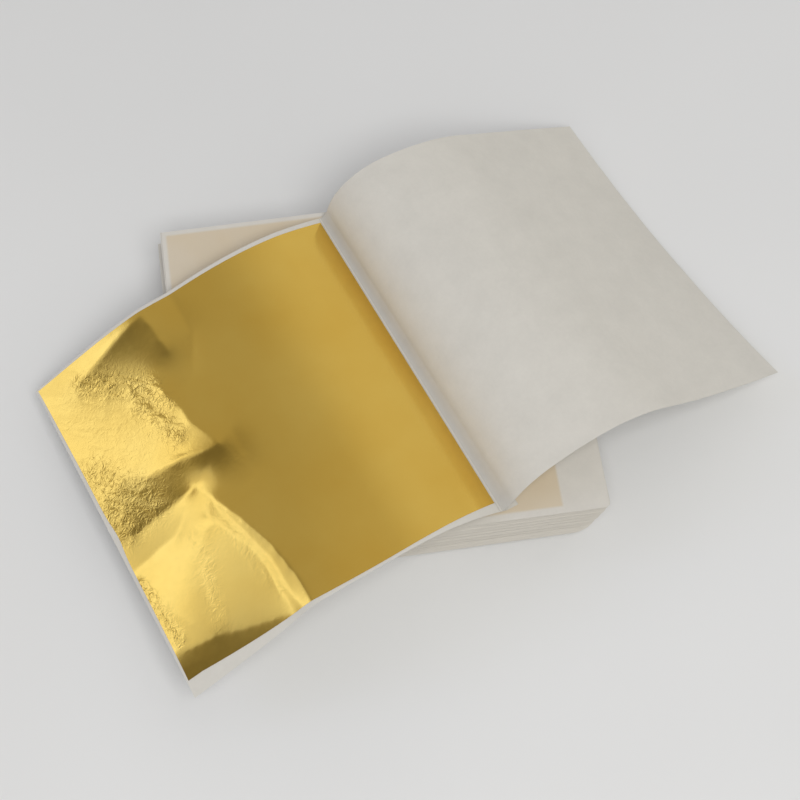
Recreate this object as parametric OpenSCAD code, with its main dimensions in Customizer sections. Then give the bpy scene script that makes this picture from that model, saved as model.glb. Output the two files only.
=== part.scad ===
// Pack of loose metal leaf between tissue folders.
// Ninety-nine closed folders lie in a pile, each a folded tissue sheet with one leaf in it.
// One more folder lies opened across the pile: its leaf page bows up from the fold and bends
// down past the pile's corner towards the table, and its cover page stands up from the fold
// and arches over to the other side.
// The origin is the middle of the face that the pile rests on, with +X across the folders,
// +Y along their folds towards the back and +Z up.

/* [Closed folders] */
// Width of a closed folder, from its fold to its free edges
folder_w = 160; // [146:1:180]
// Depth of a folder along its fold, shared by the open one
folder_d = 145; // [142:1:156]
// Thickness that one ply of tissue takes up in the pile
ply_t = 0.09; // [0.07:0.01:0.12]
// Side of the square leaf
leaf_side = 140; // [120:1:140]
// Thickness of the leaf's solid
leaf_t = 0.04; // [0.03:0.01:0.06]
// Free space above and below a leaf in its folder
leaf_play = 0.015; // [0.01:0.005:0.04]
// Distance of the leaf from the fold and from the back edge of a closed folder
leaf_inset = 2; // [1:0.5:2]
// Paper left standing at a fold, where the two plies are one
crease_w = 0.6; // [0.4:0.1:1]

/* [Pile] */
// Closed folders in each of the nine bundles
bundle_count = 10; // [4:1:14]
// Air between two folders in the pile
pile_gap = 0.015; // [0.01:0.005:0.05]
// Number of folders, from the bottom, that are pushed over to the left
lower_count = 64; // [0:1:80]
// How far the lower folders are pushed to the left
lower_shift = 2; // [0:0.5:3]
// Greatest stray of a folder's edge from its neighbours'
stray = 0.35; // [0:0.05:0.6]
// Radius of the worn front right corner on the top folder
top_corner_r = 1.5; // [0.5:0.5:5]
// Radius of the worn front right corner on the bottom folder
bottom_corner_r = 15; // [5:1:17]

/* [Open folder] */
// Width of each page of the open folder
page_w = 145; // [143:1:152]
// Distance of the fold's back end from the pile's left side
fold_from_left = 68.4; // [64:0.2:74]
// Distance of the fold's back end from the pile's back side
fold_from_back = 2.8; // [1:0.2:6]
// Angle of the fold to the folds in the pile
fold_turn = 20.6; // [18:0.2:24]
// Angle by which the leaf page's side edges miss being square to the fold
page_skew = 2.8; // [0:0.2:3.4]
// Width of the double strip that the crease leaves beside the raised page
lap_w = 5; // [2:0.5:8]
// Height of the air in that strip and under the open folder
paper_gap = 0.3; // [0.3:0.05:0.6]

/* [Leaf page] */
// Angle at which the leaf page rises from the fold, at its back edge
drape_rise_back_angle = 26; // [22:1:32]
// Angle at which the leaf page rises from the fold, at its front edge
drape_rise_front_angle = 39; // [36:1:44]
// Distance from the fold over which the back edge bends down most
drape_bend_back = 78; // [70:1:88]
// Angle at which the back edge falls where that bend ends
drape_fall_back_angle = 21; // [16:1:22]
// Angle at which the back edge falls at the page's outer corner
drape_end_back_angle = 26; // [20:1:28]
// Distance from the fold over which the front edge bends down most
drape_bend_front = 50; // [46:1:60]
// Angle at which the front edge still rises there
drape_top_front_angle = 2; // [0:1:4]
// Distance from the fold at which the front edge clears the pile's corner
drape_clear_front = 110; // [104:1:120]
// Angle at which the front edge falls at that distance
drape_fall_front_angle = 17; // [12:1:18]
// Angle at which the front edge falls at the page's outer corner
drape_end_front_angle = 32; // [24:1:38]
// Margin between the fold and the open leaf
open_leaf_inset = 4; // [1:0.5:5]
// Height to which the open leaf's loose outer front corner stands off the paper
leaf_curl = 2.5; // [0:0.5:4]

/* [Raised page] */
// Angle at which the raised page leaves the fold, at its back edge
arch_rise_back_angle = 87; // [75:1:92]
// Angle at which the raised page leaves the fold, at its front edge
arch_rise_front_angle = 62; // [54:1:68]
// Distance from the fold to the crest, at the back edge
crest_back = 39; // [32:1:44]
// Distance from the fold over which the front edge turns over
arch_bend_front = 24; // [18:1:30]
// Angle at which the front edge still rises where it has turned over
arch_top_front_angle = 19; // [14:1:22]
// Distance from the fold to the crest, at the front edge
crest_front = 54; // [50:1:60]
// Distance from the fold at which the page falls steepest
arch_fall_at = 80; // [70:1:95]
// Angle of the steepest fall at the back edge
arch_fall_back_angle = 32; // [26:1:34]
// Angle of the steepest fall at the front edge
arch_fall_front_angle = 34; // [28:1:36]
// Angle of the fall at the outer end of the front edge
arch_end_front_angle = 17; // [10:1:24]
// Air between two strips of the raised page, where it bends
strip_gap = 0.4; // [0.3:0.05:0.6]

/* [Hidden] */

tissue = "#d3cfc2";
gold = "#c9a24a";
bundles = 9;
top_folders = 9;
closed_count = bundles * bundle_count + top_folders;
folder_t = 2 * ply_t + leaf_t + 2 * leaf_play;
pitch = folder_t + pile_gap;
pile_h = closed_count * pitch - pile_gap;

// The worn corner is round low in the pile and nearly sharp at the top
function corner_r(n) = bottom_corner_r
    + (top_corner_r - bottom_corner_r) * pow(n / (closed_count - 1), 0.8);

corner_step = 7.5;

// Folders stray a little from a true pile, by a rule that never repeats in it
function stray_x(n) = stray * sin(97 * n) + (n < lower_count ? -lower_shift : 0);
function stray_y(n) = 0.7 * stray * sin(61 * n + 40);
function folder_place(n) = [stray_x(n), stray_y(n), n * pitch];

// Outline of a folder seen from above, with its worn front right corner
module folder_outline(r) {
    polygon(concat([[-folder_w / 2, -folder_d / 2]],
        [for (a = [-90:corner_step:0])
            [folder_w / 2 - r, r - folder_d / 2] + r * [cos(a), sin(a)]],
        [[folder_w / 2, folder_d / 2], [-folder_w / 2, folder_d / 2]]));
}

// One closed folder: two plies, joined along the fold at its left
module closed_folder(n) {
    translate(folder_place(n))
        difference() {
            linear_extrude(folder_t)
                folder_outline(corner_r(n));
            translate([crease_w - folder_w / 2, -folder_d / 2 - 1, ply_t])
                cube([folder_w, folder_d + 2, folder_t - 2 * ply_t]);
        }
}

// The leaf in a closed folder lies near its fold and its back edge
module closed_leaf(n) {
    translate(folder_place(n) + [leaf_inset - folder_w / 2,
            folder_d / 2 - leaf_inset - leaf_side, ply_t + leaf_play])
        cube([leaf_side, leaf_side, leaf_t]);
}

module bundle_folders(b) {
    color(tissue)
        for (i = [0:bundle_count - 1])
            closed_folder((b - 1) * bundle_count + i);
}

module bundle_leaves(b) {
    color(gold)
        for (i = [0:bundle_count - 1])
            closed_leaf((b - 1) * bundle_count + i);
}

module top_folder(i) {
    color(tissue)
        closed_folder(bundles * bundle_count + i - 1);
}

module top_leaf(i) {
    color(gold)
        closed_leaf(bundles * bundle_count + i - 1);
}

// The open folder's fold runs from the back towards the front right.
// The leaf page goes out to the left, a little off square, and the raised page to the right.
fold_dir = [sin(fold_turn), -cos(fold_turn), 0];
arch_dir = [cos(fold_turn), sin(fold_turn), 0];
leaf_dir = -[cos(fold_turn + page_skew), sin(fold_turn + page_skew), 0];
base_z = pile_h + paper_gap + ply_t / 2;
lap_z = base_z + ply_t + paper_gap;
fold_a = [fold_from_left - folder_w / 2, folder_d / 2 - fold_from_back, base_z];
fold_b = fold_a + folder_d * fold_dir;

// Half-millimetre steps along a curve whose slope changes evenly between knots
walk_steps = 290;
function walk(knots) = let (ds = page_w / walk_steps)
    [for (i = 0, x = 0, z = 0; i <= walk_steps;
        x = x + ds * cos(lookup((i + 0.5) * ds, knots)),
        z = z + ds * sin(lookup((i + 0.5) * ds, knots)),
        i = i + 1) [x, z]];
function at(curve, s) = let (k = min(max(s, 0) / page_w * walk_steps, walk_steps - 0.001),
    i = floor(k), f = k - i) curve[i] * (1 - f) + curve[i + 1] * f;

drape_back = walk([[0, drape_rise_back_angle], [drape_bend_back, -drape_fall_back_angle],
    [page_w, -drape_end_back_angle]]);
drape_front = walk([[0, drape_rise_front_angle], [drape_bend_front, drape_top_front_angle],
    [drape_clear_front, -drape_fall_front_angle], [page_w, -drape_end_front_angle]]);
arch_back = walk([[0, arch_rise_back_angle], [crest_back, 0], [arch_fall_at, -arch_fall_back_angle],
    [page_w, -arch_fall_back_angle]]);
arch_front = walk([[0, arch_rise_front_angle], [arch_bend_front, arch_top_front_angle], [crest_front, 0],
    [arch_fall_at, -arch_fall_front_angle], [page_w, -arch_end_front_angle]]);

// A page is ruled straight across, from a point on its back edge to one on its front edge
function drape_at(s, t) = let (p = at(drape_back, s), q = at(drape_front, s),
    r = p * (1 - t) + q * t)
    fold_a + t * folder_d * fold_dir + r[0] * leaf_dir + [0, 0, r[1]];
function arch_at(s_back, s_front, t) = let (p = at(arch_back, s_back),
    q = at(arch_front, s_front), r = p * (1 - t) + q * t)
    fold_a + t * folder_d * fold_dir + r[0] * arch_dir + [0, 0, lap_z - base_z + r[1]];

function unit(v) = v / norm(v);
function grid_normal(g, i, j) = let (m = len(g) - 1, n = len(g[0]) - 1)
    unit(cross(g[min(i + 1, m)][j] - g[max(i - 1, 0)][j],
        g[i][min(j + 1, n)] - g[i][max(j - 1, 0)]));

// Closed shell of thickness t about a grid of points
module sheet(g, t) {
    m = len(g);
    n = len(g[0]);
    upper = [for (i = [0:m - 1]) for (j = [0:n - 1]) g[i][j] + grid_normal(g, i, j) * t / 2];
    lower = [for (i = [0:m - 1]) for (j = [0:n - 1]) g[i][j] - grid_normal(g, i, j) * t / 2];
    rim = concat([for (j = [0:n - 1]) j],
        [for (i = [1:m - 1]) i * n + n - 1],
        [for (j = [n - 2:-1:0]) (m - 1) * n + j],
        [for (i = [m - 2:-1:1]) i * n]);
    faces = concat(
        [for (i = [0:m - 2]) for (j = [0:n - 2]) each
            [[i * n + j, (i + 1) * n + j, (i + 1) * n + j + 1],
            [i * n + j, (i + 1) * n + j + 1, i * n + j + 1]]],
        [for (i = [0:m - 2]) for (j = [0:n - 2]) each
            [[i * n + j, (i + 1) * n + j + 1, (i + 1) * n + j] + [1, 1, 1] * m * n,
            [i * n + j, i * n + j + 1, (i + 1) * n + j + 1] + [1, 1, 1] * m * n]],
        [for (k = [0:len(rim) - 1]) let (a = rim[k], b = rim[(k + 1) % len(rim)]) each
            [[a, b, b + m * n], [a, b + m * n, a + m * n]]]);
    polyhedron(concat(upper, lower), [for (f = faces) [f[2], f[1], f[0]]]);
}

across = 14;
function rule(f) = [for (j = [0:across]) f(j / across)];

// Page that carries the open leaf, with the double strip at its crease
module open_leaf_page() {
    lap = [for (k = [[-0.3, lap_z], [-lap_w / 2, lap_z], [-lap_w, lap_z], [-lap_w, base_z],
        [-lap_w / 2, base_z]])
        rule(function (t) fold_a + t * folder_d * fold_dir - k[0] * arch_dir
            + [0, 0, k[1] - base_z])];
    page = [for (i = [0:30]) rule(function (t) drape_at(page_w * i / 30, t))];
    color(tissue)
        sheet(concat(lap, page), ply_t);
}

// Leaf on the open page, following it, with its outer front corner standing off
module open_leaf() {
    steps = 28;
    side_t = (folder_d - leaf_side) / 2 / folder_d;
    grid = [for (i = [0:steps]) let (s = open_leaf_inset + min(leaf_side,
        page_w - open_leaf_inset - paper_gap) * i / steps)
        rule(function (t) drape_at(s, side_t + (1 - 2 * side_t) * t)
            + [0, 0, paper_gap + ply_t + leaf_curl * pow(i / steps, 3) * pow(t, 2)])];
    color(gold)
        sheet(grid, leaf_t);
}

// The raised page bends along straight lines, which meet its back edge and its front edge at
// these shares of its width
line_back = page_w * [0, 0.083, 0.186, 0.276, 0.455, 1];
line_front = page_w * [0, 0.083, 0.186, 0.345, 0.552, 1];
function strip_start(line, k) = line[k - 1] + (k == 1 ? paper_gap : strip_gap / 2);
function strip_end(line, k) = line[k] - (k == 5 ? 0 : strip_gap / 2);
function between(line, k, f) = strip_start(line, k) * (1 - f) + strip_end(line, k) * f;

module raised_page(k) {
    steps = 8;
    color(tissue)
        sheet([for (i = [0:steps]) let (s = between(line_back, k, i / steps),
            q = between(line_front, k, i / steps))
            rule(function (t) arch_at(s, q, t))], ply_t);
}

bundle_folders(1);  // bundle_1_folders
bundle_folders(2);  // bundle_2_folders
bundle_folders(3);  // bundle_3_folders
bundle_folders(4);  // bundle_4_folders
bundle_folders(5);  // bundle_5_folders
bundle_folders(6);  // bundle_6_folders
bundle_folders(7);  // bundle_7_folders
bundle_folders(8);  // bundle_8_folders
bundle_folders(9);  // bundle_9_folders
bundle_leaves(1);  // bundle_1_leaves
bundle_leaves(2);  // bundle_2_leaves
bundle_leaves(3);  // bundle_3_leaves
bundle_leaves(4);  // bundle_4_leaves
bundle_leaves(5);  // bundle_5_leaves
bundle_leaves(6);  // bundle_6_leaves
bundle_leaves(7);  // bundle_7_leaves
bundle_leaves(8);  // bundle_8_leaves
bundle_leaves(9);  // bundle_9_leaves
top_folder(1);  // top_folder_1
top_folder(2);  // top_folder_2
top_folder(3);  // top_folder_3
top_folder(4);  // top_folder_4
top_folder(5);  // top_folder_5
top_folder(6);  // top_folder_6
top_folder(7);  // top_folder_7
top_folder(8);  // top_folder_8
top_folder(9);  // top_folder_9
top_leaf(1);  // top_leaf_1
top_leaf(2);  // top_leaf_2
top_leaf(3);  // top_leaf_3
top_leaf(4);  // top_leaf_4
top_leaf(5);  // top_leaf_5
top_leaf(6);  // top_leaf_6
top_leaf(7);  // top_leaf_7
top_leaf(8);  // top_leaf_8
top_leaf(9);  // top_leaf_9
open_leaf_page();
open_leaf();
raised_page(1);  // raised_page_1
raised_page(2);  // raised_page_2
raised_page(3);  // raised_page_3
raised_page(4);  // raised_page_4
raised_page(5);  // raised_page_5
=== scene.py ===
import math
import bpy
import numpy as np
from mathutils import Matrix, Vector


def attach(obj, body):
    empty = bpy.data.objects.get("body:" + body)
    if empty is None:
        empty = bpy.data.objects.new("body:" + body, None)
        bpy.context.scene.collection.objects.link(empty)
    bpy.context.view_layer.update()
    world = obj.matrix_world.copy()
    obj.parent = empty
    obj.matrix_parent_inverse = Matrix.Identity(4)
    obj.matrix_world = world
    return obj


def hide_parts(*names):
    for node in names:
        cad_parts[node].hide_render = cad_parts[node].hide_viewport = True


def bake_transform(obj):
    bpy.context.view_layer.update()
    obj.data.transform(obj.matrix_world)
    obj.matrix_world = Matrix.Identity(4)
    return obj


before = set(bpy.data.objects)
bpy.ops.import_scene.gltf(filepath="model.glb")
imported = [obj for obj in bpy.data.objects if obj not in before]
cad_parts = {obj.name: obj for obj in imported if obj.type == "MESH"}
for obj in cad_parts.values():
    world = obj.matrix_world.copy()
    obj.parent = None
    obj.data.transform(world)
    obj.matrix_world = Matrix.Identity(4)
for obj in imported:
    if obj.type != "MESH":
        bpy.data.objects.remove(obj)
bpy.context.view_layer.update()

# Closed folders.
# Each is one sheet of thin tissue, 320 by 145 mm, folded once at its left and laid on the last
# one by hand, so that no two edges lie quite true and the front right corners are worn round.
mm = 0.001
folder_w, folder_d = 160.0, 145.0
folder_t, folder_gap = 0.25, 0.015
folder_pitch = folder_t + folder_gap
folders_in_pile, folders_in_bundle, bundles, top_folders = 99, 10, 9, 9
pile_h = folders_in_pile * folder_pitch - folder_gap
tissue_t, fold_r = 0.045, 0.085
bottom_corner_r, top_corner_r = 15, 1.5


def shell(middle, thickness, *marks):
    """A closed sheet about a grid of points, with the grid's marks kept on its points."""
    rows, cols = middle.shape[:2]
    along = np.gradient(middle, axis=0)
    across = np.gradient(middle, axis=1)
    normal = np.cross(along, across)
    normal /= np.maximum(np.linalg.norm(normal, axis=2, keepdims=True), 1e-12)
    upper = (middle + normal * thickness / 2).reshape(-1, 3)
    lower = (middle - normal * thickness / 2).reshape(-1, 3)
    count = rows * cols
    index = np.arange(count).reshape(rows, cols)
    top = np.stack([index[:-1, :-1], index[1:, :-1], index[1:, 1:], index[:-1, 1:]], -1).reshape(-1, 4)
    rim = np.concatenate([index[0, :-1], index[:-1, -1], index[-1, :0:-1], index[:0:-1, 0]])
    rim_next = np.roll(rim, -1)
    edge = np.stack([rim, rim_next, rim_next + count, rim + count], 1)
    faces = np.concatenate([top, top[:, ::-1] + count, edge])
    smooth = np.concatenate([np.ones(2 * len(top), bool), np.zeros(len(edge), bool)])
    doubled = [np.concatenate([m.reshape(count, -1)] * 2) for m in marks]
    return {"points": np.concatenate([upper, lower]), "faces": faces, "smooth": smooth, "marks": doubled}


def piece(name, shells, material, mark_names=()):
    """One mesh object, in metres, from one or more shells made in millimetres."""
    points = np.concatenate([s["points"] for s in shells]) * mm
    starts = np.cumsum([0] + [len(s["points"]) for s in shells[:-1]])
    faces = np.concatenate([s["faces"] + start for s, start in zip(shells, starts)])
    corners = faces.shape[1]
    mesh = bpy.data.meshes.new(name)
    mesh.vertices.add(len(points))
    mesh.vertices.foreach_set("co", points.ravel())
    mesh.loops.add(faces.size)
    mesh.loops.foreach_set("vertex_index", faces.ravel())
    mesh.polygons.add(len(faces))
    mesh.polygons.foreach_set("loop_start", np.arange(len(faces)) * corners)
    mesh.polygons.foreach_set("use_smooth", np.concatenate([s["smooth"] for s in shells]))
    mesh.update()
    mesh.validate()
    mesh.set_sharp_from_angle(angle=math.radians(60))
    for k, mark_name in enumerate(mark_names):
        values = np.concatenate([s["marks"][k] for s in shells]).astype(np.float32)
        kind, field = ("FLOAT_VECTOR", "vector") if values.shape[1] == 3 else ("FLOAT", "value")
        mark = mesh.attributes.new(mark_name, kind, "POINT")
        mark.data.foreach_set(field, values.ravel())
    mesh.materials.append(material)
    made = bpy.data.objects.new(name, mesh)
    bpy.context.scene.collection.objects.link(made)
    return made


def new_group(name, inputs, outputs):
    """A shader node group with named sockets, and its input and output nodes."""
    group = bpy.data.node_groups.new(name, "ShaderNodeTree")
    for socket, kind, value in inputs:
        made = group.interface.new_socket(socket, in_out="INPUT", socket_type="NodeSocket" + kind)
        if value is not None:
            made.default_value = value
    for socket, kind in outputs:
        group.interface.new_socket(socket, in_out="OUTPUT", socket_type="NodeSocket" + kind)
    return group, group.nodes.new("NodeGroupInput"), group.nodes.new("NodeGroupOutput")


def node(tree, kind, links=(), **settings):
    """A node of that kind with its settings, and its inputs linked or set by name or number."""
    made = tree.nodes.new("ShaderNode" + kind)
    for key, value in settings.items():
        setattr(made, key, value)
    for socket, value in dict(links).items():
        if isinstance(value, bpy.types.NodeSocket):
            tree.links.new(value, made.inputs[socket])
        else:
            made.inputs[socket].default_value = value
    return made


def calc(tree, operation, *values):
    return node(tree, "Math", dict(enumerate(values)), operation=operation).outputs[0]


def remap(tree, value, low, high, to_low, to_high, **settings):
    """A value from low to high turned into one from to_low to to_high, and held there past them."""
    return node(tree, "MapRange", {0: value, 1: low, 2: high, 3: to_low, 4: to_high}, **settings).outputs[0]


def noise(tree, place, scale, detail, roughness=0.5, distortion=0.0):
    return node(tree, "TexNoise", {"Vector": place, "Scale": scale, "Detail": detail, "Roughness": roughness,
                                   "Distortion": distortion}).outputs["Fac"]


def scaled(tree, colour, amount):
    return node(tree, "VectorMath", {0: colour, "Scale": amount}, operation="SCALE").outputs[0]


def mixed(tree, share, colour, other):
    return node(tree, "Mix", {"Factor": share, 6: colour, 7: other}, data_type="RGBA").outputs[2]


# Tissue is cloudy where its fibres lie thicker, and shows a fine tooth close up
tissue_tone = (0.685, 0.655, 0.595, 1)
formation, given, shown = new_group(
    "tissue_formation",
    [("Sheet", "Vector", None), ("Paper", "Color", tissue_tone), ("Cloud", "Float", 0.05),
     ("Tooth", "Float", 1.0)],
    [("Color", "Color"), ("Roughness", "Float"), ("Height", "Float")])
cloud = noise(formation, given.outputs["Sheet"], scale=95.0, detail=5.0, roughness=0.62)
speck = noise(formation, given.outputs["Sheet"], scale=620.0, detail=3.0, roughness=0.7)
swing = calc(formation, "SUBTRACT", cloud, 0.5)
fleck = calc(formation, "SUBTRACT", speck, 0.5)
fibres = calc(formation, "MULTIPLY_ADD", fleck, 0.45, swing)
depth = calc(formation, "MULTIPLY", fibres, given.outputs["Cloud"])
lighter = calc(formation, "MULTIPLY_ADD", depth, 4.0, 1.0)
dull = calc(formation, "MULTIPLY_ADD", swing, 0.25, 0.68)
tooth = calc(formation, "MULTIPLY_ADD", speck, given.outputs["Tooth"], cloud)
formation.links.new(scaled(formation, given.outputs["Paper"], lighter), shown.inputs["Color"])
formation.links.new(dull, shown.inputs["Roughness"])
formation.links.new(tooth, shown.inputs["Height"])
enclosed_tint, enclosed_share, share_swing = (0.66, 0.53, 0.345, 1), 0.66, 0.15
# Painted shade: how far and how deep the raised page is painted darker beside its crease
crease_x, crease_core, crease_reach, crease_shade_depth = -0.002, 0.0015, 0.011, 0.22
leaf_page_mark, raised_page_mark = 0.4, 0.9


def tissue(name, paper, cloudiness, leaf_square=None, painted_crease_shade=False):
    """Tissue paper. The square where a leaf lies under it shows through it, and a raised page is
    painted darker beside its crease, a painted shade for the shade at its foot."""
    made = bpy.data.materials.new(name)
    made.use_nodes = True
    tree = made.node_tree
    shader = tree.nodes["Principled BSDF"]
    shader.inputs["Specular IOR Level"].default_value = 0.3
    sheet = node(tree, "Attribute", attribute_name="sheet").outputs["Vector"]
    look = node(tree, "Group", {"Sheet": sheet, "Paper": paper, "Cloud": cloudiness}, node_tree=formation)
    colour = look.outputs["Color"]
    from_fold, from_back, page_mark = node(tree, "SeparateXYZ", {0: sheet}).outputs
    if leaf_square:
        inside = []
        for way, (low, high) in zip((from_fold, from_back), leaf_square):
            middle, half = (low + high) / 2 * mm, (high - low) / 2 * mm
            off = calc(tree, "ABSOLUTE", calc(tree, "SUBTRACT", way, middle))
            inside.append(remap(tree, off, half - 0.4 * mm, half + 0.6 * mm, 1.0, 0.0))
        patch = noise(tree, sheet, scale=28.0, detail=3.0)
        uneven = remap(tree, patch, 0.3, 0.7, enclosed_share - share_swing, enclosed_share + share_swing)
        share = calc(tree, "MULTIPLY", calc(tree, "MULTIPLY", *inside), uneven)
        colour = mixed(tree, share, colour, enclosed_tint)
    # Painted shade: the raised page's colour is darkened beside its crease, as if in the shade at its foot
    if painted_crease_shade:
        beside = calc(tree, "ABSOLUTE", calc(tree, "SUBTRACT", from_fold, crease_x))
        painted_shade = remap(tree, beside, crease_core, crease_reach, crease_shade_depth, 0.0,
                     interpolation_type="SMOOTHSTEP")
        raised = calc(tree, "GREATER_THAN", page_mark, (leaf_page_mark + raised_page_mark) / 2)
        left_unshaded = calc(tree, "SUBTRACT", 1.0, calc(tree, "MULTIPLY", painted_shade, raised))
        colour = scaled(tree, colour, left_unshaded)
    tree.links.new(colour, shader.inputs["Base Color"])
    tree.links.new(look.outputs["Roughness"], shader.inputs["Roughness"])
    bump = node(tree, "Bump", {"Height": look.outputs["Height"], "Strength": 0.25, "Distance": 0.0001})
    tree.links.new(bump.outputs[0], shader.inputs["Normal"])
    return made


closed_tissue = tissue("closed_tissue", tissue_tone, 0.035, leaf_square=((2, 142), (-69.5, 70.5)))


def corner_radius(n):
    return bottom_corner_r + (top_corner_r - bottom_corner_r) * (n / (folders_in_pile - 1)) ** 0.8


def worn_corner(x, y, r):
    """Draws the front right corner of a folder in to a quarter circle."""
    cx, cy = folder_w / 2 - r, r - folder_d / 2
    u, v = np.clip((x - cx) / r, 0, None), np.clip((cy - y) / r, 0, None)
    reach = np.maximum(u, v) / np.maximum(np.hypot(u, v), 1e-9)
    inside = (u > 0) & (v > 0)
    return np.where(inside, cx + u * reach * r, x), np.where(inside, cy - v * reach * r, y)


def steps(*stops):
    """Numbers through the stops, each stop given with the count of steps that lead to it."""
    made = [stops[0]]
    for stop, count in stops[1:]:
        made += list(np.linspace(made[-1], stop, count + 1)[1:])
    return np.array(made)


half_sheet = steps(0.0, (0.08, 1), (0.2, 1), (0.6, 1), (4, 1), (16, 1), (130, 8), (144, 1), (158, 7),
                   (folder_w, 2))
sheet_x = np.concatenate([-half_sheet[:0:-1], half_sheet])
sheet_y = steps(-folder_d / 2, (-71.5, 1), (-57, 7), (-40, 1), (56, 7), (69, 1), (72, 1), (folder_d / 2, 1))
free_edge_x, free_edge_w = 62, 18
lower_count, lower_shift, lower_extra_w, extra_from = 64, 2, 2, 40
pushed_back_count, pushed_back = 21, 0.9
drawn_out_count, drawn_out = 5, -1.3
edge_stray, depth_stray, most_skew = 0.25, 0.12, 0.002
side_wave_end, front_wave_start, deepest_wave = 66, -66, 0.02
folder_seed, noise_step = 700, 0.031


def closed_folder(n):
    """Folder n, counted from the bottom: the sheet is walked across its fold, lower ply first."""
    draw = np.random.default_rng(folder_seed + n)
    across, depth_y = np.meshgrid(sheet_x, sheet_y, indexing="ij")
    upper = across > 0
    turn = np.clip(across / fold_r, -math.pi / 2, math.pi / 2)
    flat = np.maximum(np.abs(across) - fold_r * math.pi / 2, 0)
    x = flat + fold_r * (1 - np.cos(turn)) - folder_w / 2
    x = -folder_w / 2 + (x + folder_w / 2) * folder_w / (x.max() + folder_w / 2)
    lift = fold_r * np.sin(turn)
    x, y = worn_corner(x, depth_y, corner_radius(n))

    # The free edges lie a little apart and askew, and the lower folders are cut a little wider
    edge = np.clip((x - free_edge_x) / free_edge_w, 0, 1)
    wider = lower_extra_w * np.clip(n / extra_from, 0, 1) if n < lower_count else 0
    upper_stray, lower_stray = draw.uniform(-edge_stray, edge_stray), draw.uniform(-edge_stray, edge_stray)
    x = x + edge * (wider + np.where(upper, upper_stray, lower_stray))
    y = y + np.where(upper, 1, -1) * draw.uniform(-depth_stray, depth_stray) * edge
    skew = draw.uniform(-most_skew, most_skew)
    x, y = x - skew * y, y + skew * x

    # The free edges and the front wave more towards the top, where little lies on them
    height = n / folders_in_pile
    side_wave = 0.28 * np.sin(y / 13 + 1.1) + 0.2 * np.sin(y / 6.1 + 3 * height)
    wave = height * edge ** 2 * np.clip((side_wave_end - y) / 20, 0, 1) * side_wave
    front = np.clip((front_wave_start - y) / 6, 0, 1) ** 2
    wave = wave + height * front * 0.22 * np.sin(x / 17 + 2 * height)
    z = n * folder_pitch + folder_t / 2 + lift + np.maximum(wave, -deepest_wave)

    # No folder lies quite on the last, and a few near the bottom are drawn out at the front
    slow = 0.22 * math.sin(0.5 * n + 1) + 0.12 * math.sin(0.23 * n)
    pushed = lower_shift if n < lower_count else 0
    stray_x = 0.35 * math.sin(math.radians(97 * n)) - pushed + 0.5 * slow
    ledge = pushed_back if n < pushed_back_count else 0
    if pushed_back_count <= n < pushed_back_count + drawn_out_count:
        ledge = drawn_out
    stray_y = 0.245 * math.sin(math.radians(61 * n + 40)) + slow + ledge
    middle = np.stack([x + stray_x, y + stray_y, z], -1)
    sheet = np.stack([across * mm, depth_y * mm, np.full_like(x, n * noise_step)], -1)
    return shell(middle, tissue_t, sheet)


def lay_folders(name, first, count, body, replaced):
    made = piece(name, [closed_folder(first + i) for i in range(count)], closed_tissue, ["sheet"])
    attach(made, body)
    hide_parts(replaced)


for b in range(1, bundles + 1):
    lay_folders(f"bundle_{b}_tissue", (b - 1) * folders_in_bundle, folders_in_bundle, f"bundle_{b}",
                f"bundle_{b}_folders")
for i in range(1, top_folders + 1):
    lay_folders(f"top_tissue_{i}", bundles * folders_in_bundle + i - 1, 1, f"top_{i}", f"top_folder_{i}")

# Leaves in the closed folders.
# Each is a 140 mm square of gold-coloured brass, beaten so thin that it holds no shape of its
# own. It lies loose in its folder, close to the fold and the back edge.
leaf_tone = (0.93, 0.63, 0.135, 1)
deeper = (0.94, 0.88, 0.72)
enclosed_crush = 0.1
beaten, given, shown = new_group(
    "beaten_leaf",
    [("Place", "Vector", None), ("Metal", "Color", leaf_tone), ("Crush", "Float", 0.0)],
    [("Color", "Color"), ("Roughness", "Float"), ("Height", "Float")])
toning = noise(beaten, given.outputs["Place"], scale=22.0, detail=4.0)
warm = remap(beaten, toning, 0.3, 0.7, 0.0, 1.0)
deep = node(beaten, "VectorMath", {0: given.outputs["Metal"], 1: deeper}, operation="MULTIPLY").outputs[0]
grain = noise(beaten, given.outputs["Place"], scale=300.0, detail=6.0, roughness=0.7)
haze = remap(beaten, grain, 0.25, 0.75, 0.12, 0.19)
wrinkle = noise(beaten, given.outputs["Place"], scale=420.0, detail=2.0, distortion=0.6)
pleat = calc(beaten, "ABSOLUTE", calc(beaten, "SUBTRACT", wrinkle, 0.5))
amount = calc(beaten, "ADD", given.outputs["Crush"], 0.06)
beaten.links.new(mixed(beaten, warm, given.outputs["Metal"], deep), shown.inputs["Color"])
beaten.links.new(haze, shown.inputs["Roughness"])
beaten.links.new(calc(beaten, "MULTIPLY", pleat, amount), shown.inputs["Height"])


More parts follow.
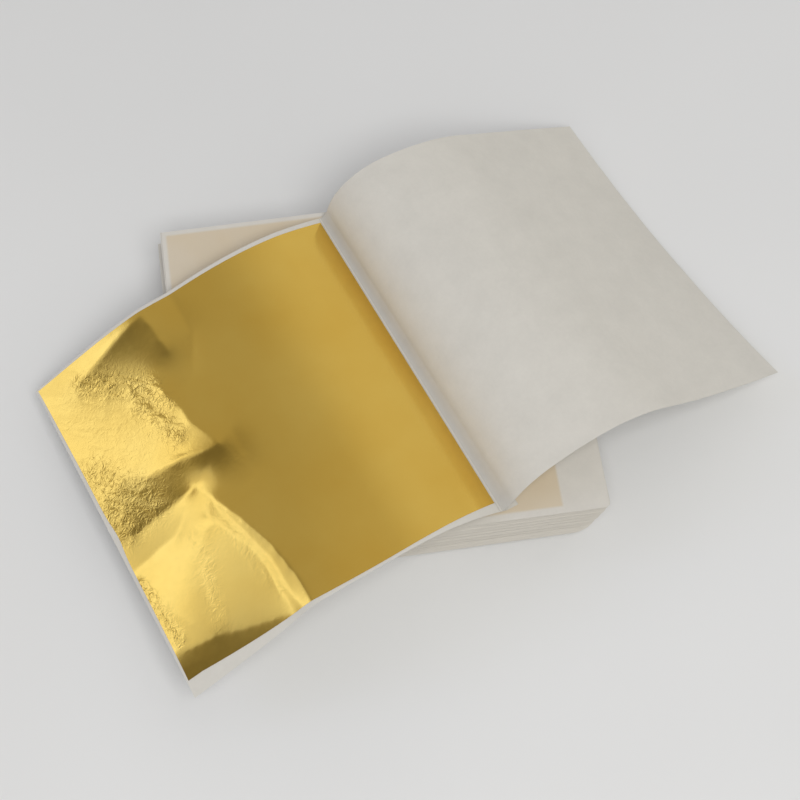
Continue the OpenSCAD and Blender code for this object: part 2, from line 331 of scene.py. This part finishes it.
def leaf_metal(name, mark=None):
    """Beaten brass leaf, crumpled as much as its mark says, or evenly where it has none."""
    made = bpy.data.materials.new(name)
    made.use_nodes = True
    tree = made.node_tree
    shader = tree.nodes["Principled BSDF"]
    shader.inputs["Metallic"].default_value = 1.0
    look = node(tree, "Group", {"Metal": leaf_tone, "Crush": enclosed_crush}, node_tree=beaten)
    if mark:
        place = node(tree, "Attribute", attribute_name="sheet").outputs["Vector"]
        crush = node(tree, "Attribute", attribute_name=mark)
        tree.links.new(crush.outputs["Fac"], look.inputs["Crush"])
    else:
        place = node(tree, "TexCoord").outputs["Object"]
    tree.links.new(place, look.inputs["Place"])
    tree.links.new(look.outputs["Color"], shader.inputs["Base Color"])
    tree.links.new(look.outputs["Roughness"], shader.inputs["Roughness"])
    bump = node(tree, "Bump", {"Height": look.outputs["Height"], "Strength": 1.0, "Distance": 0.0003})
    tree.links.new(bump.outputs[0], shader.inputs["Normal"])
    return made


enclosed_leaf = leaf_metal("enclosed_leaf")
for name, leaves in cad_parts.items():
    if name.endswith("_leaves") or name.startswith("top_leaf_"):
        leaves.data.materials.clear()
        leaves.data.materials.append(enclosed_leaf)

# Leaf page of the open folder.
# The page under the bare leaf bows up from the fold and bends down past the pile's corner,
# which has pressed creases into it. At the fold the sheet is doubled into a strip 5 mm wide.
page_w, lap_w, paper_gap, ply_t = 145.0, 5.0, 0.3, 0.09
fold_turn, page_skew = math.radians(20.6), math.radians(2.8)
fold_dir = np.array([math.sin(fold_turn), -math.cos(fold_turn), 0])
arch_dir = np.array([math.cos(fold_turn), math.sin(fold_turn), 0])
leaf_dir = -np.array([math.cos(fold_turn + page_skew), math.sin(fold_turn + page_skew), 0])
base_z = pile_h + paper_gap + ply_t / 2
lap_z = base_z + ply_t + paper_gap
fold_a = np.array([68.4 - folder_w / 2, folder_d / 2 - 2.8, base_z])
walk_steps = 290

# A place on a page is s, how far it is from the fold, and u, how far from the back edge, in mm


def walk(*knots):
    """Points along a curve whose slope changes evenly between knots of distance and slope."""
    away, slope = np.array(knots, float).T
    middle = (np.arange(walk_steps) + 0.5) * page_w / walk_steps
    angle = np.radians(np.interp(middle, away, slope))
    run = np.stack([np.cos(angle), np.sin(angle)], 1) * page_w / walk_steps
    return np.concatenate([[[0, 0]], np.cumsum(run, 0)])


def at(curve, s):
    k = np.clip(np.asarray(s, float), 0, page_w) / page_w * walk_steps
    i = np.minimum(k.astype(int), walk_steps - 1)
    return curve[i] * (1 - (k - i)[..., None]) + curve[i + 1] * (k - i)[..., None]


drape_back = walk((0, 26), (78, -21), (page_w, -26))
drape_front = walk((0, 39), (50, 2), (110, -17), (page_w, -32))


def ruled(r, t, out, z):
    """Points at r, out from the fold and up, at the share t of the way along it from the back."""
    t = np.broadcast_to(t, r.shape[:-1])[..., None]
    return fold_a + t * folder_d * fold_dir + r[..., :1] * out + (r[..., 1:] + z) * np.array([0, 0, 1])


def drape_at(s, u):
    t = np.asarray(u, float)[..., None] / folder_d
    return ruled(at(drape_back, s) * (1 - t) + at(drape_front, s) * t, t[..., 0], leaf_dir, 0)


# Flat facets that the creases part, as their corners' s and u, with the fall of each away from
# the fold and towards the front, in degrees
facets = [
    ([(92, 0), (146, -1), (146, 5), (131, 11)], 25.9, -2.0),
    ([(88, 2), (131, 11), (114, 20), (100, 31), (87, 24)], 18.2, 6.4),
    ([(76, 0), (90.5, 2), (88.5, 23), (100, 31), (95, 42), (85, 38), (76, 22)], 5.8, -1.7),
    ([(131, 11), (146, 4), (146, 32), (129, 57), (122, 64), (113, 65), (106, 62), (105, 37), (100, 31),
      (114, 20)], 25.0, -4.2),
    ([(105, 37), (100, 33), (95, 45), (94, 57), (90, 65), (90, 71), (101, 66), (106, 62)], 26.2, -11.4),
    ([(90, 71), (104, 66), (113, 64.5), (121, 63), (129, 57), (136, 60), (136, 78.5), (106, 79)],
     22.8, 7.4),
    ([(129, 57), (146, 32), (146, 78), (136, 78.5), (136, 60)], 24.5, 0.2),
    ([(146, 78.7), (113, 78), (114, 85), (120, 89), (146, 91.3)], 24.4, -2.2),
    ([(106, 78.5), (113, 78), (114, 85), (121, 90), (136, 91), (146, 93), (143, 101), (138, 110.6),
      (134.5, 119), (127.5, 130.5), (125.5, 134), (122, 128), (122, 118), (119, 105), (111, 96),
      (105.5, 95.3), (107, 91), (102, 88)], 22.5, -10.1),
    ([(82, 67), (90, 71), (106, 78.5), (102, 88), (94, 92), (82, 88)], 5.5, -3.8),
    ([(102, 88), (107, 91), (105.5, 95.3), (99, 111), (97, 122), (96.5, 133), (95, 146), (92.5, 146),
      (94, 134), (94, 119.6), (96.5, 109), (100, 95)], 33.3, -7.1),
    ([(106, 78.5), (100, 95), (96.5, 109), (94, 120), (94, 134), (92.5, 146), (88, 146), (89, 131),
      (91, 117), (96, 101), (102, 87)], 26.6, -10.4),
    ([(111, 96), (105.5, 95.3), (99, 111), (97, 122), (96.5, 133), (95, 146), (125.5, 134), (122, 128),
      (122, 118), (119, 105)], 25.9, -3.6),
    ([(138, 110.6), (134.5, 119), (127.5, 130.5), (125.5, 134), (146, 129), (146, 108)], 24.8, -4.5),
    ([(95, 146), (125.5, 134), (146, 129), (146, 136), (128, 139)], 19.3, 5.0),
    ([(95, 146), (128, 139), (146, 136), (146, 146)], 19.3, 8.5),
]
crease_softness, page_clearance = 0.7, 0.6
belly_rise, belly_start, belly_spread = math.radians(5.2), 42, 35
belly_at_back, press_run_in = 0.25, 25
page_grid = np.arange(0, page_w + 1)


def inside(polygon, s, u):
    found = np.zeros(s.shape, bool)
    for (s1, u1), (s2, u2) in zip(polygon, polygon[1:] + polygon[:1]):
        crosses = (u1 > u) != (u2 > u)
        found ^= crosses & (s < (s2 - s1) * (u - u1) / (u2 - u1 if u2 != u1 else 1e-9) + s1)
    return found


def eased(x):
    x = np.clip(x, 0, 1)
    return x * x * (3 - 2 * x)


def press(facets, softness):
    """How far the page lifts off its plain bow: it bellies out towards the front left, and comes
    nearest to the slopes of the facets."""
    s, u = np.meshgrid(page_grid, page_grid, indexing="ij")
    page = drape_at(s, u)
    bellied = np.cumsum(eased((s - belly_start) / belly_spread), axis=0) * math.tan(belly_rise)
    slope = np.array(np.gradient(bellied * (belly_at_back + (1 - belly_at_back) * eased((u - 5) / 75))))
    for polygon, *falls in facets:
        within = inside(polygon, s, u)
        for way, fall in enumerate(falls):
            step = np.gradient(page, axis=way)[within]
            slope[way][within] = -math.tan(math.radians(fall)) * np.hypot(step[:, 0], step[:, 1]) - step[:, 2]

    # The height whose slopes come nearest to these, found from their waves on the mirrored page
    n = len(page_grid)
    slope = np.concatenate([slope, slope[:, ::-1] * np.array([-1, 1])[:, None, None]], 1)
    slope = np.concatenate([slope, slope[:, :, ::-1] * np.array([1, -1])[:, None, None]], 2)
    turn = 2 * np.pi * np.fft.fftfreq(2 * n)
    ks, ku = np.meshgrid(turn, turn, indexing="ij")
    blur = np.exp(-(ks ** 2 + ku ** 2) * softness ** 2 / 2)
    gs, gu = np.fft.fft2(slope[0]) * blur, np.fft.fft2(slope[1]) * blur
    square = ks ** 2 + ku ** 2
    square[0, 0] = 1
    height = np.real(np.fft.ifft2(-1j * (ks * gs + ku * gu) / square))[:n, :n]
    return height - height[0].mean()


pressed = press(facets, crease_softness) + page_clearance


def grid_value(grid, s, u):
    """Between the points of a map with a point each millimetre, and straight on past its front."""
    s = np.clip(s, 0, page_w - 1e-6)
    i, j = s.astype(int), np.clip(u, 0, page_w - 1).astype(int)
    f, g = s - i, u - j
    return (grid[i, j] * (1 - f) * (1 - g) + grid[i + 1, j] * f * (1 - g)
            + grid[i, j + 1] * (1 - f) * g + grid[i + 1, j + 1] * f * g)


def pressed_height(s, u):
    return grid_value(pressed, s, u) * np.clip(s / press_run_in, 0, 1) ** 2


def ripple(s, u, size, seed, grain=0, stretch=1):
    """Smooth noise from -1 to 1, its lumps about that size in mm and drawn out along the grain."""
    cells, shift = 64, 70
    draw = np.random.default_rng(seed).uniform(-1, 1, (cells, cells))
    c, d = math.cos(math.radians(grain)), math.sin(math.radians(grain))
    a, b = (s * c + u * d) / stretch / size + shift, (u * c - s * d) / size + shift
    i, j = np.floor(a).astype(int), np.floor(b).astype(int)
    f, g = a - i, b - j
    f, g = f * f * (3 - 2 * f), g * g * (3 - 2 * g)
    i0, i1, j0, j1 = i % cells, (i + 1) % cells, j % cells, (j + 1) % cells
    return ((draw[i0, j0] * (1 - f) + draw[i1, j0] * f) * (1 - g)
            + (draw[i0, j1] * (1 - f) + draw[i1, j1] * f) * g)


# The open tissue carries the painted shade beside the raised page's crease
open_tissue = tissue("open_tissue", (0.655, 0.63, 0.572, 1), 0.04, painted_crease_shade=True)
cut_long_left, cut_long_fold, cut_long_run, cut_long_reach = 2.4, 3.0, 30, 60.0
page_share = np.linspace(0, 1, 181)


def left_depth(s):
    """The page's depth from back to front, cut a little long, and longest at the fold."""
    return folder_d + cut_long_left + (cut_long_fold - cut_long_left) * np.clip(1 - s / cut_long_run, 0, 1)


s, share = np.meshgrid(np.linspace(0, page_w, 181), page_share, indexing="ij")
u = share * left_depth(s)
wavy = 0.05 * ripple(s, u, 9, 3) * np.clip((s - 144) / 3, 0, 1)
page = drape_at(s, u) + np.stack([0 * s, 0 * s, pressed_height(s, u) + wavy], -1)
crease_r = (lap_z - base_z) / 2
lap_turn = np.linspace(math.pi / 2, -math.pi / 2, 7)
lap_path = [(0.6, lap_z - base_z), (2.5, lap_z - base_z)]
lap_path += [(lap_w - crease_r + crease_r * math.cos(a), crease_r + crease_r * math.sin(a)) for a in lap_turn]
lap_path += [(3.0, 0), (1.2, 0)]
lap_u = page_share * left_depth(0)
lap = np.stack([ruled(np.broadcast_to(point, (len(lap_u), 2)), lap_u / folder_d, arch_dir, 0)
                for point in lap_path])
lap_s = -np.array([x for x, z in lap_path])
middle = np.concatenate([lap, page])
all_s = np.concatenate([np.broadcast_to(lap_s[:, None], lap.shape[:2]), s])
all_u = np.concatenate([np.broadcast_to(lap_u, lap.shape[:2]), u])
sheet = np.stack([all_s * mm, all_u * mm, np.full_like(all_s, leaf_page_mark)], -1)
leaf_page = piece("leaf_page_tissue", [shell(middle, tissue_t, sheet)], open_tissue, ["sheet"])
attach(leaf_page, "open_folder")
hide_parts("open_leaf_page")

# Bare leaf.
# The 140 mm square of beaten brass on the open page. It follows the page, takes up every
# crease in it, and is crushed into fine facets towards its outer edge, where it stands proud.
leaf_side, leaf_t, leaf_off = 140.0, 0.003, 0.16
leaf_from_fold, leaf_from_back, leaf_askew = 4.2, 2.2, 1.4
fuller_at_fold, fuller_midway = 1.6, 3.8
leaf_share = np.linspace(0, 1, 281)
leaf_a, leaf_b = np.meshgrid(leaf_share, leaf_share, indexing="ij")
ragged = 0.8 * np.sin(math.pi * leaf_b) ** 0.7 + 0.9 * np.exp(-((leaf_b - 0.53) / 0.05) ** 2)
fuller = fuller_at_fold * (1 - leaf_a) + fuller_midway * np.sin(math.pi * np.clip(leaf_a / 0.95, 0, 1))
s = leaf_from_fold + leaf_side * leaf_a - leaf_a ** 4 * ragged
u = leaf_from_back - leaf_askew * leaf_a + (leaf_side + fuller) * leaf_b


def strokes(s, u, *marks):
    """From 0 to 1 along strokes, each given by its ends, its width and its strength."""
    total = 0 * s
    for (s1, u1), (s2, u2), width, strength in marks:
        ds, du = s2 - s1, u2 - u1
        along = np.clip(((s - s1) * ds + (u - u1) * du) / (ds * ds + du * du), 0, 1)
        off = (s - s1 - along * ds) ** 2 + (u - u1 - along * du) ** 2
        total += strength * np.exp(-off / width ** 2)
    return np.clip(total, 0, 1)


def creases(s, u, size, seed, grain, stretch):
    """Sharp folds in a crumpled sheet, 0 along each fold."""
    stray = 0.6 * size * ripple(s, u, 3 * size, seed + 5)
    return np.abs(ripple(s + stray, u - stray, size, seed, grain, stretch))


crushed = strokes(
    s, u, ((126, 12), (101, 32), 5, 1), ((100, 33), (98, 42), 4, 0.8), ((109, 34), (102, 57), 4, 1),
    ((140, 46), (124, 73), 7, 0.9), ((141, 62), (137, 76), 6, 0.8), ((135, 20), (118, 55), 17, 0.16))
pleated = strokes(
    s, u, ((143, 98), (140, 126), 3, 0.9), ((113, 96), (122, 130), 3.5, 0.3),
    ((103, 90), (97, 134), 3, 0.25), ((90, 73), (84, 80), 4, 0.12))
crumple = crushed * (0.25 - 0.2 * creases(s, u, 2.6, 11, -50, 3) - 0.05 * creases(s, u, 1.3, 12, -40, 2.4))
crumple += pleated * (0.22 - 0.18 * creases(s, u, 2.6, 21, 95, 3) - 0.05 * creases(s, u, 1.3, 22, 100, 2.4))
lift = pressed_height(s, u) + leaf_off + crumple
leaf_middle = drape_at(s, u) + np.stack([0 * s, 0 * s, lift], -1)
sheet = np.stack([s * mm, u * mm, 0 * s], -1)
bare_leaf = piece("bare_leaf", [shell(leaf_middle, leaf_t, sheet, np.maximum(crushed, pleated))],
                  leaf_metal("bare_leaf", "crush"), ["sheet", "crush"])
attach(bare_leaf, "open_leaf")
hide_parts("open_leaf")

# Raised page of the open folder.
# The page that covered the leaf stands up from the crease and arches over to the right, one
# sheet of tissue in an easy bend. It is split where nothing shows; only its last strip follows the page.
arch_back = walk((0, 87), (39, 0), (80, -32), (page_w, -32))
arch_front = walk((0, 62), (24, 19), (54, 0), (80, -34), (page_w, -17))


def arch_at(s_back, s_front, t):
    w = np.asarray(t, float)[..., None]
    return ruled(at(arch_back, s_back) * (1 - w) + at(arch_front, s_front) * w, t, arch_dir, lap_z - base_z)


foot_left, foot_right, foot_knee, foot_lift = 3.9, 4.0, (-1.6, 0.1), 0.07
foot_rows, row_step = 10, 1.6
sag, cockling, cockling_run_in = 7.0, 0.16, 12
bend_back = page_w * np.array([0.083, 0.186, 0.276, 0.455, 1])
bend_front = page_w * np.array([0.083, 0.186, 0.345, 0.552, 1])
part_back = np.concatenate([[foot_right, bend_back[0] / 2], (bend_back[:4] + bend_back[1:]) / 2, [page_w]])
part_front = np.concatenate([[foot_right, bend_front[0] / 2], (bend_front[:4] + bend_front[1:]) / 2,
                             [page_w]])
parts = len(part_back) - 1
rows = []
part_rows = [0]
for k in range(parts):
    count = max(3, int(round((part_back[k + 1] - part_back[k]) / row_step)))
    share = np.linspace(0, 1, count + 1)[(0 if k == 0 else 1):]
    rows += [(part_back[k] + f * (part_back[k + 1] - part_back[k]),
              part_front[k] + f * (part_front[k + 1] - part_front[k])) for f in share]
    part_rows.append(len(rows) - 1)
rows = np.array(rows)
arch_s = rows[:, :1] * (1 - page_share) + rows[:, 1:] * page_share
arch_u = page_share * (folder_d + cut_long_fold * np.clip(1 - arch_s / cut_long_reach, 0, 1) ** 2)
arch = np.stack([arch_at(np.full_like(u, b), np.full_like(u, f), u / folder_d)
                 for (b, f), u in zip(rows, arch_u)])
arch[..., 2] -= sag * (arch_s / page_w) ** 6 * 4 * page_share * (1 - page_share)


def outward(grid):
    out = np.cross(np.gradient(grid, axis=0), np.gradient(grid, axis=1))
    return out / np.linalg.norm(out, axis=2, keepdims=True)


cockle = cockling * (ripple(arch_s, arch_u, 17, 61) + 0.3 * ripple(arch_s, arch_u, 7, 62))
arch = arch + outward(arch) * (cockle * np.clip((arch_s - foot_right) / cockling_run_in, 0, 1))[..., None]

# The foot of the page runs off the other page and up in one easy curve
foot_u = page_share * left_depth(0)
foot_start = drape_at(np.full_like(foot_u, foot_left), foot_u) + np.array([0, 0, foot_lift])
foot_turn = ruled(np.broadcast_to(foot_knee, (len(foot_u), 2)), foot_u / folder_d, arch_dir, 0)
f = np.linspace(0, 1, foot_rows + 1)[:-1, None, None]
foot = (1 - f) ** 2 * foot_start + 2 * f * (1 - f) * foot_turn + f ** 2 * arch[0]
foot_s = (f[:, :, 0] * (foot_left + foot_right) - foot_left) * np.ones(len(foot_u))
arch = np.concatenate([foot, arch])
arch_s = np.concatenate([foot_s, arch_s])
arch_u = np.concatenate([np.broadcast_to(foot_u, foot_s.shape), arch_u])
part_rows = [0] + [r + len(foot) for r in part_rows[1:]]
arch_out = outward(arch)
pages = ["open_folder"] + [f"page_{k}" for k in range(1, 6)]


def across_strip(first, last):
    """The way straight across a strip, square to the lines along its two edges."""
    rule = (first[-1] - first[0]) / np.linalg.norm(first[-1] - first[0])
    rule = rule + (last[-1] - last[0]) / np.linalg.norm(last[-1] - last[0])
    rule /= np.linalg.norm(rule)
    way = last.mean(0) - first.mean(0)
    way -= rule * (way @ rule)
    return way / np.linalg.norm(way)


for k in range(parts):
    span = slice(part_rows[k], part_rows[k + 1] + 1)
    grid = arch[span]
    sheet = np.stack([arch_s[span] * mm, arch_u[span] * mm, np.full_like(arch_s[span], raised_page_mark)], -1)
    part = shell(grid, tissue_t, sheet)
    centre, out = grid.reshape(-1, 3), arch_out[span].reshape(-1, 3)
    part["points"] = np.concatenate([centre + out * tissue_t / 2, centre - out * tissue_t / 2])
    made = piece(f"raised_page_tissue_{k + 1}", [part], open_tissue, ["sheet"])
    made.data.normals_split_custom_set_from_vertices([Vector(v) for v in np.concatenate([out, -out])])
    if k < parts - 1:
        first, last = grid[0], grid[-1]
        if k == 0:
            way = np.array([0, 0, 1.0])
        else:
            way = across_strip(first, last)
        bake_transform(made)
        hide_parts(f"raised_page_{k + 1}")
    else:
        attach(made, pages[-1])

# Table and light.
# A plain pale table top, a soft light in front of the pile, and a pale room all round with a
# bright white panel low at the left, which the bare leaf mirrors.
table_reach = 6
table_corners = [(x * table_reach, y * table_reach, 0) for x, y in ((-1, -1), (1, -1), (1, 1), (-1, 1))]
floor_mesh = bpy.data.meshes.new("table_top")
floor_mesh.from_pydata(table_corners, [], [(0, 1, 2, 3)])
floor = bpy.data.objects.new("table_top", floor_mesh)
bpy.context.scene.collection.objects.link(floor)
painted = bpy.data.materials.new("table_paint")
painted.use_nodes = True
tree = painted.node_tree
soft = noise(tree, node(tree, "TexCoord").outputs["Object"], scale=5.0, detail=2.0)
paint = mixed(tree, remap(tree, soft, 0.3, 0.7, 0.0, 1.0), (0.77, 0.77, 0.76, 1), (0.8, 0.8, 0.79, 1))
tree.links.new(paint, tree.nodes["Principled BSDF"].inputs["Base Color"])
tree.nodes["Principled BSDF"].inputs["Roughness"].default_value = 0.75
floor_mesh.materials.append(painted)


def toward(azimuth, elevation):
    """The direction at an azimuth, counted from +X towards +Y, and an elevation, in degrees."""
    a, e = math.radians(azimuth), math.radians(elevation)
    return Vector((math.cos(a) * math.cos(e), math.sin(a) * math.cos(e), math.sin(e)))


lamp = bpy.data.lights.new("front_soft_light", "AREA")
lamp.shape, lamp.size, lamp.size_y, lamp.energy = "RECTANGLE", 1.0, 0.8, 12
lamp_aim, lamp_way, lamp_distance = Vector((0, 0, 0.03)), toward(-80, 62), 1.5
held = bpy.data.objects.new("front_soft_light", lamp)
held.matrix_world = (Matrix.Translation(lamp_aim + lamp_way * lamp_distance)
                     @ lamp_way.to_track_quat("Z", "Y").to_matrix().to_4x4())
bpy.context.scene.collection.objects.link(held)

room = bpy.data.worlds.new("room")
bpy.context.scene.world = room
room.use_nodes = True
tree = room.node_tree
looking = node(tree, "TexCoord").outputs["Generated"]
room_level, skyline_level = 0.42, 0.42
wall_colour, panel_colour = (1.0, 0.985, 0.96), (1.0, 1.18, 1.95)
lighter_and_darker_walls = ((49, 23, 15, 60, 0.2), (198, 64, 12, 34, -0.25))
panel_parts = ((155, 33, 5, 9, 0.45), (172, 28, 5, 10, 0.4), (162, 37, 11, 14, 0.33))


def glow(azimuth, elevation, inner, outer, strength):
    """How much one part of the room adds, full within the inner angle and nothing past the outer."""
    near = node(tree, "VectorMath", {0: looking, 1: tuple(toward(azimuth, elevation))},
                operation="DOT_PRODUCT").outputs["Value"]
    return remap(tree, near, math.cos(math.radians(outer)), math.cos(math.radians(inner)), 0.0, strength,
                 interpolation_type="SMOOTHSTEP")


upward = node(tree, "SeparateXYZ", {0: looking}).outputs["Z"]
skyline = remap(tree, upward, 0.05, 0.35, skyline_level, 0.0, interpolation_type="SMOOTHSTEP")
level = calc(tree, "ADD", skyline, room_level)
for part in lighter_and_darker_walls:
    level = calc(tree, "ADD", level, glow(*part))
panels = 0.0
for part in panel_parts:
    panels = calc(tree, "ADD", panels, glow(*part))
walls, lit = scaled(tree, wall_colour, level), scaled(tree, panel_colour, panels)
seen = node(tree, "VectorMath", {0: walls, 1: lit}, operation="ADD").outputs[0]
tree.links.new(seen, tree.nodes["Background"].inputs["Color"])

# Camera, at the place and with the lens that a fit to the object's outlines gave
camera_data = bpy.data.cameras.new("camera")
camera_data.sensor_width, camera_data.lens = 36.0, 80.19
camera_data.clip_start, camera_data.clip_end = 0.05, 30
camera = bpy.data.objects.new("camera", camera_data)
camera_place = Vector((-0.03531, -0.30477, 0.66556))
azimuth, fall = math.radians(8.29), math.radians(65.53)
forward = Vector((math.sin(azimuth) * math.cos(fall), math.cos(azimuth) * math.cos(fall), -math.sin(fall)))
right = Vector((math.cos(azimuth), -math.sin(azimuth), 0))
above = right.cross(forward)
camera.matrix_world = (Matrix.Translation(camera_place)
                       @ Matrix((right, above, -forward)).transposed().to_4x4())
bpy.context.scene.collection.objects.link(camera)
bpy.context.scene.camera = camera
bpy.context.scene.view_settings.view_transform = "Standard"
